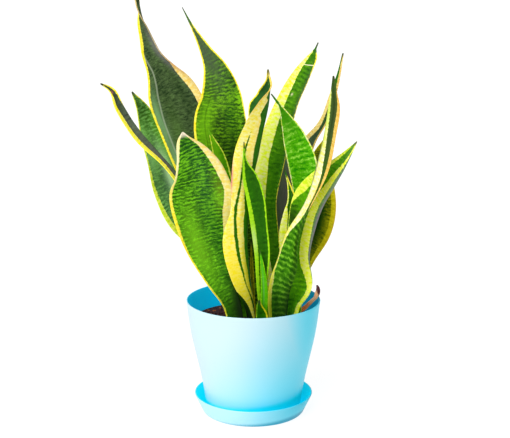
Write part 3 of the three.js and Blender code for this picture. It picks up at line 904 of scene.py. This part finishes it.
def leaf_skin(name, leaf):
    """Waxy green with torn cross bands, yellow margins and a dried point."""
    shader = Shader(name + "_skin")
    place = shader.attribute("place", "Vector")
    streak = shader.noise(shader.stretched(place, *PATTERNS["streak"]), detail=2, roughness=0.6)
    fine = shader.noise(shader.stretched(place, *PATTERNS["fine"]), detail=2, roughness=0.7)
    ripple = shader.noise(shader.stretched(place, *PATTERNS["ripple"]), detail=3, roughness=0.65)

    green = leaf_green(shader, leaf, place, streak, fine)
    yellow = leaf_yellow(shader, leaf, streak, ripple)
    frayed = shader.times(shader.minus(ripple, 0.5), 2.4)
    ripe = shader.ramp(shader.plus(shader.attribute("stripe"), frayed), -0.4, 0.4)
    skin = shader.mix(ripe, green, yellow)
    point = shader.ramp(shader.attribute("to_tip"), 2.0, 9.0, 0.85, 0.0)
    skin = shader.mix(point, skin, rgb(leaf.get("tip", DRIED_POINT)))

    shader.finish(skin, roughness=shader.ramp(fine, 0.2, 0.8, 0.4, 0.56), shine=0.05)
    # Painted light: the yellow glows as strongly as glow says.
    if "glow" in leaf:
        shader.glow(skin, shader.times(ripe, leaf["glow"]))
    shader.bump(shader.plus(streak, shader.times(fine, 0.5)), strength=0.4, depth=0.6)
    return shader.material


def leaf_green(shader, leaf, place, streak, fine):
    """The banded green, with soft patches of other greens and a thin line."""
    bands = cross_bands(shader, place, fine, *leaf["bands"])
    light, middle, dark = (rgb(code) for code in PAINTS[leaf["paint"]])
    green = shader.mix(shader.ramp(bands, 0.18, 0.5), dark, middle)
    green = shader.mix(shader.ramp(bands, 0.5, 0.86), green, light)
    # A faint patch covers the light bands less than the dark ones.
    dabs = shader.attribute("dabs", "Color")
    cover = shader.attribute("dabs_cover")
    on_dark = shader.mix(cover, green, dabs)
    lesser = shader.times(cover, shader.plus(shader.times(cover, 0.5), 0.5))
    on_light = shader.mix(lesser, green, dabs)
    green = shader.mix(shader.ramp(bands, 0.25, 0.75), on_dark, on_light)
    green = shader.mix(shader.ramp(streak, 0.4, 0.75, 0.0, 0.25), green, rgb(GREEN_STREAK))
    if "line" in leaf:
        half_width, tint, strength = leaf["line"][2:]
        aside = shader.sums("ABSOLUTE", shader.attribute("line"))
        drawn = shader.ramp(aside, half_width * 0.4, half_width * 1.5, strength, 0.0)
        green = shader.mix(drawn, green, rgb(TINTS[tint]))
    return green


def leaf_yellow(shader, leaf, streak, ripple):
    """The yellow of the margins, which may differ to the left and right, with its soft patches."""
    yellows = []
    for margin in leaf["margins"]:
        rich, pale = (rgb(code) for code in MARGINS[margin])
        yellows.append(shader.mix(shader.ramp(ripple, 0.38, 0.62), rich, pale))
    yellow = shader.mix(shader.ramp(shader.attribute("across"), -0.15, 0.15), *yellows)
    yellow = shader.mix(shader.attribute("yellow_patches_cover"), yellow, shader.attribute("yellow_patches", "Color"))
    return shader.mix(shader.ramp(streak, 0.52, 0.8, 0.0, 0.22), yellow, rgb(YELLOW_STREAK))


def cross_bands(shader, place, fine, period, strength, regular=0.3):
    """Short torn dashes across the blade, 0 where they are darkest and 1 where they are lightest."""
    zigzag = shader.noise(shader.stretched(place, *PATTERNS["zigzag"]), detail=3, roughness=0.6)
    thrown = shader.times(shader.minus(zigzag, 0.5), 2.2)
    lifted = shader.add("CombineXYZ", {"Y": thrown}).outputs[0]
    row_place = shader.add("VectorMath", {
        0: shader.stretched(place, BAND_CELLS, 2 / period), 1: lifted,
    }, operation="ADD").outputs[0]
    rows = shader.noise(row_place, detail=3, roughness=0.6)
    height = shader.add("SeparateXYZ", {0: row_place}).outputs["Y"]
    even = shader.sums("SINE", shader.times(height, math.pi))
    clouds = shader.noise(shader.stretched(place, *PATTERNS["cloud"]), detail=2)
    bands = shader.plus(rows, shader.times(clouds, 0.4))
    bands = shader.plus(bands, shader.times(fine, 0.4))
    bands = shader.plus(bands, shader.times(even, 0.2 * regular))
    bands = shader.minus(bands, 0.9)
    clear = shader.times(shader.attribute("banding"), 3.0 * strength)
    return shader.plus(shader.times(bands, clear), 0.5)


# ------------------------------------------------------------------ pot and saucer

SAUCER = dict(rim=75.5, foot=62, height=24.3, wall=1.8, floor=2, foot_round=4)
# The pot's side runs up through corner, lower and waist, each (radius, height), to the rim.
POT = dict(
    foot=58, corner=(60.6, 10), lower=(67, 48), waist=(79.4, 105), rim=85, rim_height=147.5,
    wall=1.8, floor=2, foot_ring=1.5,
)
TURN_STEPS = 144

# The plastic's outside is painted pale on the left, where the light falls, and clear on the right, in
# painted shade. The change runs over shade, in mm to the right, and lies lean further right for each mm of
# height. foot: a tint painted low down, a painted blue reflection of the saucer on the pot and a painted
# contact shadow on the saucer, and the heights in mm between which it fades, with foot_tilt more for each mm
# to the right.
# deep: the blue inside, glow: painted light that makes it glow there, and dusk: what is left of both
# on the right, as painted shade.
POT_LOOK = dict(
    pale="#c2dce4", clear="#44daf4", shade=(-135, 61), lean=0.75,
    foot="#00dcea", foot_fade=(21, 28), foot_tilt=0.1,
    deep="#00c6ff", glow=0.32, dusk=0.45,
)
SAUCER_LOOK = dict(
    pale="#acdeeb", clear="#34cce8", shade=(-40, 78), lean=0,
    foot="#0498b8", foot_fade=(0.5, 7), foot_tilt=0.08,
    deep="#08d8ec", glow=0.4, dusk=0.9,
)
# Both: painted shade turns the far right clear over flank and dusky over dim, in mm to the right, and clouds
# move the change of painted shade by up to half of cloud, in mm.
PLASTIC = dict(flank=(19, 76), dim=(45, 80), cloud=20)


def arc(centre, radius, start, end, steps=5):
    """Points on an arc, as [radius from the axis, height], for a profile. Angles in degrees."""
    points = []
    for step in range(steps + 1):
        angle = math.radians(start + (end - start) * step / steps)
        points.append([centre[0] + radius * math.cos(angle), centre[1] + radius * math.sin(angle)])
    return points


def spin_profile(name, outline, steps=TURN_STEPS):
    """Turns a profile of [radius, height] points, which starts and ends on the axis, about +Z."""
    deselect()
    bpy.ops.mesh.primitive_circle_add(vertices=len(outline), radius=MM, fill_type="NOTHING")
    piece = bpy.context.object
    piece.name = name
    for vertex, (radius, height) in zip(piece.data.vertices, outline):
        vertex.co = (radius * MM, 0, height * MM)
    bpy.ops.object.mode_set(mode="EDIT")
    bpy.ops.mesh.select_all(action="SELECT")
    bpy.ops.mesh.spin(steps=steps, angle=2 * math.pi, center=(0, 0, 0), axis=(0, 0, 1))
    bpy.ops.mesh.select_all(action="SELECT")
    bpy.ops.mesh.remove_doubles(threshold=0.02 * MM)
    bpy.ops.mesh.dissolve_degenerate(threshold=0.01 * MM)
    bpy.ops.mesh.select_all(action="SELECT")
    bpy.ops.mesh.normals_make_consistent(inside=False)
    bpy.ops.object.mode_set(mode="OBJECT")
    return piece


def vertex_places(piece):
    """The piece's vertices in mm."""
    flat = np.zeros(len(piece.data.vertices) * 3)
    piece.data.vertices.foreach_get("co", flat)
    return flat.reshape(-1, 3) / MM


def mark_inside(piece, outer_side):
    """Writes 1 on the inner wall of a shell with this outer side, [radius, height] points."""
    radii, heights = zip(*outer_side)
    places = vertex_places(piece)
    radius = np.hypot(places[:, 0], places[:, 1])
    outer = np.interp(places[:, 2], heights, radii)
    write_attribute(piece, "inner", "FLOAT", (radius < outer - POT["wall"] / 2).astype(float))


def pot_side(inset, steps=24):
    """The pot's side as [radius, height] points from the foot to the rim."""
    stations = [POT["corner"], POT["lower"], POT["waist"], (POT["rim"], POT["rim_height"])]
    places, _ = spline(stations, np.linspace(0, 1, steps + 1))
    return [[radius - inset, height] for radius, height in places]


def make_pot():
    foot, wall = POT["foot"], POT["wall"]
    base = SAUCER["floor"]
    under = base + POT["foot_ring"]
    floor = under + POT["floor"]
    lip = wall / 2
    outside = pot_side(0)
    outline = [
        # the underside, the ring it stands on, and the round of the outer corner
        [0, under], [foot - 9, under], [foot - 8.4, under - 0.4], [foot - 8, base],
        [foot - 4, base], [foot - 2.2, base + 0.5], [foot - 0.6, base + 1.8], [foot + 0.9, base + 4.2],
        *outside[:-1],
        *arc([POT["rim"] - lip, POT["rim_height"] - lip], lip, 0, 180),
        *pot_side(wall)[-2::-1],
        [foot - 1, floor + 2.4], [foot - 3.4, floor], [0, floor],
    ]
    pot = spin_profile("pot_shell", outline)
    smooth(pot, 50)
    mark_inside(pot, [[foot - 1, 0], *outside])
    dress(pot, "pot", plastic("pot_plastic", POT_LOOK))


def make_saucer():
    rim, foot, wall, height = SAUCER["rim"], SAUCER["foot"], SAUCER["wall"], SAUCER["height"]
    turn = SAUCER["foot_round"]
    under = arc([foot, turn], turn, -90, -15)
    outline = [
        [0, 0],
        *under,
        *arc([rim - wall / 2, height - wall / 2], wall / 2, 0, 180),
        *arc([foot, turn], turn - wall, -15, -90),
        [0, SAUCER["floor"]],
    ]
    saucer = spin_profile("saucer_dish", outline)
    smooth(saucer, 50)
    mark_inside(saucer, [[0, 0.01], *under[1:], [rim, height]])
    dress(saucer, "saucer", plastic("saucer_plastic", SAUCER_LOOK))


def plastic(name, look):
    """Milky moulded plastic, pale where painted light falls and clear in painted shade, with a painted tint
    low down, and a deeper blue inside that glows with painted light and darkens to the right as painted
    shade.
    """
    shader = Shader(name)
    place = shader.object_place()
    parts = shader.add("SeparateXYZ", {0: place}).outputs
    right, height = parts["X"], parts["Z"]

    # Painted light and shade: pale on the left where the light falls, clear in painted shade to the right.
    clouds = shader.minus(shader.noise(shader.stretched(place, 14, 14, 9), detail=2), 0.5)
    front = shader.minus(right, shader.times(height, look["lean"]))
    front = shader.plus(front, shader.times(clouds, PLASTIC["cloud"] * MM))
    front = shader.ramp_mm(front, look["shade"])
    shade = shader.sums("MAXIMUM", front, shader.ramp_mm(right, PLASTIC["flank"]))
    outside = shader.mix(shade, rgb(look["pale"]), rgb(look["clear"]))
    # A painted tint low on the outside: a blue reflection of the saucer on the pot, a contact shadow on the
    # saucer.
    level = shader.minus(height, shader.times(right, look["foot_tilt"]))
    low = shader.ramp_mm(level, look["foot_fade"], 0.95, 0.0)
    outside = shader.mix(low, outside, rgb(look["foot"]))

    # Painted shade darkens the inside to the right, and painted light makes the inside glow.
    lit = shader.ramp_mm(right, PLASTIC["dim"], 1.0, look["dusk"])
    inside = shader.mix(lit, (0, 0, 0, 1), rgb(look["deep"]))
    inner = shader.attribute("inner")
    shader.finish(shader.mix(inner, outside, inside), roughness=0.38, shine=0.4)
    shader.glow(rgb(look["deep"]), shader.times(inner, shader.times(lit, look["glow"])))
    shader.bump(shader.noise(place, scale=1400, detail=1), strength=0.06, depth=0.3)
    return shader.material


# ------------------------------------------------------------------ soil

SOIL = dict(edge=119.5, middle=121.5, bottom=5.8, wall_gap=2.1, rings=42, turn_steps=168)
SOIL_LUMPS = ((0.11, 2.0), (0.31, 1.3), (0.8, 0.5))  # lumps to a mm, and how high they are in mm
SUNK = 0.6  # mm that the lumpy soil lies lower than the plain bed

CRUMBS = dict(count=420, bark_every=6, from_rim=4, lump=0.45, lump_scale=1.6, twist=0.2)
PEAT = dict(size=(0.9, 2.4), shape=(1, 0.85, 0.7), tint=(0.0, 0.45))
BARK = dict(size=(2.0, 4.2), shape=(1, 0.55, 0.3), tint=(0.6, 1.0))


def bed_height(share):
    """The height of the plain bed at this share of the way from its middle to its edge."""
    return SOIL["middle"] + (SOIL["edge"] - SOIL["middle"]) * share ** 2


def make_soil():
    side = [point for point in pot_side(SOIL["wall_gap"], 12) if point[1] < SOIL["edge"] - 3]
    rim = side[-1][0] + 0.7
    top = []
    for ring in range(SOIL["rings"]):
        radius = rim * (1 - ring / SOIL["rings"])
        top.append([radius, bed_height(radius / rim)])
    outline = [[0, SOIL["bottom"]], [POT["foot"] - 4, SOIL["bottom"]], *side, *top, [0, SOIL["middle"]]]
    soil = spin_profile("soil_bed", outline, SOIL["turn_steps"])
    for vertex, place in zip(soil.data.vertices, vertex_places(soil)):
        radius = math.hypot(place[0], place[1])
        on_top = place[2] > SOIL["edge"] - 2
        if on_top and radius < rim - 0.5:
            spot = Vector(place)
            lump = sum(noise.noise(spot * scale) * high for scale, high in SOIL_LUMPS)
            vertex.co.z += (lump - SUNK) * MM
    smooth(soil, 60)
    write_attribute(soil, "tint", "FLOAT", np.zeros(len(soil.data.vertices)))
    crumbs = make_crumbs(rim)
    pick(soil)
    for crumb in crumbs:
        crumb.select_set(True)
    bpy.ops.object.join()
    dress(soil, "soil", potting_mix())


def make_crumbs(rim):
    """Crumbs of peat and flat chips of bark, half sunk in the soil."""
    chance = random.Random(5)
    crumbs = []
    for index in range(CRUMBS["count"]):
        kind = BARK if index % CRUMBS["bark_every"] == 0 else PEAT
        deselect()
        bpy.ops.mesh.primitive_ico_sphere_add(subdivisions=2, radius=1)
        crumb = bpy.context.object
        size = chance.uniform(*kind["size"])
        turn = chance.uniform(0, 2 * math.pi)
        radius = (rim - CRUMBS["from_rim"]) * math.sqrt(chance.random())
        heading = chance.uniform(0, 2 * math.pi)
        height = bed_height(radius / rim) + chance.uniform(-0.4, 0.7)
        seed = Vector((index * 3.7, 0, 0))
        for vertex in crumb.data.vertices:
            lump = 1 + CRUMBS["lump"] * noise.noise(vertex.co * CRUMBS["lump_scale"] + seed)
            x, y, z = (vertex.co[axis] * lump * size * kind["shape"][axis] for axis in range(3))
            z += x * CRUMBS["twist"] * math.sin(seed.x)
            vertex.co = (
                (radius * math.cos(heading) + x * math.cos(turn) - y * math.sin(turn)) * MM,
                (radius * math.sin(heading) + x * math.sin(turn) + y * math.cos(turn)) * MM,
                (height + z) * MM,
            )
        tint = chance.uniform(*kind["tint"])
        write_attribute(crumb, "tint", "FLOAT", np.full(len(crumb.data.vertices), tint))
        smooth(crumb, 70)
        crumbs.append(crumb)
    return crumbs


def potting_mix():
    """Dark moist peat, and reddish bark where tint is high."""
    shader = Shader("potting_soil")
    place = shader.object_place()
    coarse = shader.noise(place, scale=260, detail=4, roughness=0.7)
    fine = shader.noise(place, scale=900, detail=2, roughness=0.7)
    peat = shader.mix(shader.ramp(coarse, 0.35, 0.65), rgb("#2a1a20"), rgb("#5a3434"))
    bark = shader.mix(shader.ramp(fine, 0.35, 0.65), rgb("#7a4426"), rgb("#c0703c"))
    mixed = shader.mix(shader.ramp(shader.attribute("tint"), 0.35, 0.7), peat, bark)
    shader.finish(mixed, roughness=0.9, shine=0.2)
    shader.bump(shader.plus(coarse, fine), strength=0.8, depth=0.8)
    return shader.material


# ------------------------------------------------------------------ the dead leaf

DRY_LEAF = dict(wave=0, stations=[
    [57, 37, 108, 3, -30, 20],
    [62, 31, 121, 3.4, -45, 28],
    [69.8, 22, 132.6, 3.3, -28, 32],
    [75, 14, 141.4, 3.3, -12, 32],
    [79.1, 7, 148, 3.6, 0, 34],
    [81.6, 3, 155, 4.2, 0, 36],
    [82, 1, 161.5, 3, 0, 36],
    [80.4, 0, 165.5, 0.9, 0, 36],
])
DRY_GRID = dict(rows=60, columns=8)
CRUMPLE = dict(seed=1, scale=0.18, depth=0.5)  # creases to a mm, and how deep they are in mm


def make_dry_leaf():
    piece = blade_mesh("dry_leaf_strip", DRY_LEAF, DRY_GRID["rows"], DRY_GRID["columns"])
    across, along = blade_coordinates(piece)
    run = lengths(DRY_LEAF, along)
    noise.seed_set(CRUMPLE["seed"])  # without it, noise_vector goes by the clock
    for vertex in piece.data.vertices:
        spot = vertex.co / MM
        vertex.co += noise.noise_vector(spot * CRUMPLE["scale"]) * CRUMPLE["depth"] * MM
    place = np.column_stack([across * half_widths(DRY_LEAF, along), run, np.zeros(len(run))])
    write_attribute(piece, "place", "FLOAT_VECTOR", place)
    write_attribute(piece, "along", "FLOAT", along)
    write_attribute(piece, "across", "FLOAT", across)
    dress(piece, "dry_leaf", leaf_paper())


def leaf_paper():
    """Brown and streaky at the foot, paler higher up, with a dark curled tip, and a painted glow of its own
    colour.
    """
    shader = Shader("dry_leaf_paper")
    place = shader.attribute("place", "Vector")
    along = shader.attribute("along")
    streak = shader.noise(shader.stretched(place, 1.4, 0.07), detail=3, roughness=0.6)
    brown = shader.mix(shader.ramp(streak, 0.4, 0.6), rgb("#7c3418"), rgb("#d8843c"))
    straw = shader.mix(shader.ramp(streak, 0.35, 0.6), rgb("#e08448"), rgb("#ffd0a0"))
    paper = shader.mix(shader.ramp(along, 0.2, 0.55), brown, straw)
    slanted = shader.plus(along, shader.times(shader.attribute("across"), 0.08))
    paper = shader.mix(shader.ramp(slanted, 0.66, 0.76), paper, rgb("#4a1c22"))
    shader.finish(paper, roughness=0.6, shine=0.5)
    # Painted light: the strip glows with its own colour.
    shader.glow(paper, 0.4)
    shader.bump(streak, strength=0.7, depth=0.8)
    return shader.material


# ------------------------------------------------------------------ floor, light and camera

CAMERA = dict(place=(2.1, -1500, 587), pitch=12.62, lens=86.75, sensor=36, reach=500_000)
KEY_LIGHT = dict(heading=-38, elevation=42, strength=2.9, softness=50)
SKY_STRENGTH = 0.4
FLOOR = dict(size=400_000, colour="#7a7a7a", roughness=0.9, glow=0.9)
WHITE = (1, 1, 1, 1)


def set_floor():
    """A floor that stays near white, with a soft shadow under the saucer."""
    deselect()
    bpy.ops.mesh.primitive_plane_add(size=FLOOR["size"] * MM)
    floor = bpy.context.object
    floor.name = "floor"
    shader = Shader("pale_floor")
    shader.finish(rgb(FLOOR["colour"]), FLOOR["roughness"], shine=0.5)
    shader.glow(WHITE, FLOOR["glow"])
    floor.data.materials.append(shader.material)


def set_light():
    """An even white sky, and one distant soft light from the front, left of the camera."""
    world = bpy.data.worlds.new("studio")
    bpy.context.scene.world = world
    world.use_nodes = True
    background = world.node_tree.nodes["Background"]
    background.inputs["Color"].default_value = WHITE
    background.inputs["Strength"].default_value = SKY_STRENGTH
    deselect()
    tilt, heading = math.radians(90 - KEY_LIGHT["elevation"]), math.radians(KEY_LIGHT["heading"])
    bpy.ops.object.light_add(type="SUN", rotation=(tilt, 0, heading))
    light = bpy.context.object
    light.name = "key_light"
    light.data.energy = KEY_LIGHT["strength"]
    light.data.angle = math.radians(KEY_LIGHT["softness"])
    bpy.context.scene.view_settings.view_transform = "Standard"


def set_camera():
    """The lens, sensor and reach are in mm, and the pitch is in degrees below level."""
    deselect()
    bpy.ops.object.camera_add(
        location=[value * MM for value in CAMERA["place"]],
        rotation=(math.radians(90 - CAMERA["pitch"]), 0, 0),
    )
    camera = bpy.context.object
    camera.data.lens = CAMERA["lens"]
    camera.data.sensor_width = CAMERA["sensor"]
    camera.data.clip_end = CAMERA["reach"] * MM
    bpy.context.scene.camera = camera


# ------------------------------------------------------------------ the whole plant

set_camera()
set_light()
set_floor()
make_saucer()
make_pot()
make_soil()
for number, (leaf_name, leaf_shape) in enumerate(LEAVES.items(), start=1):
    make_leaf(leaf_name, {**leaf_shape, **COATS[leaf_name]}, number)
make_dry_leaf()
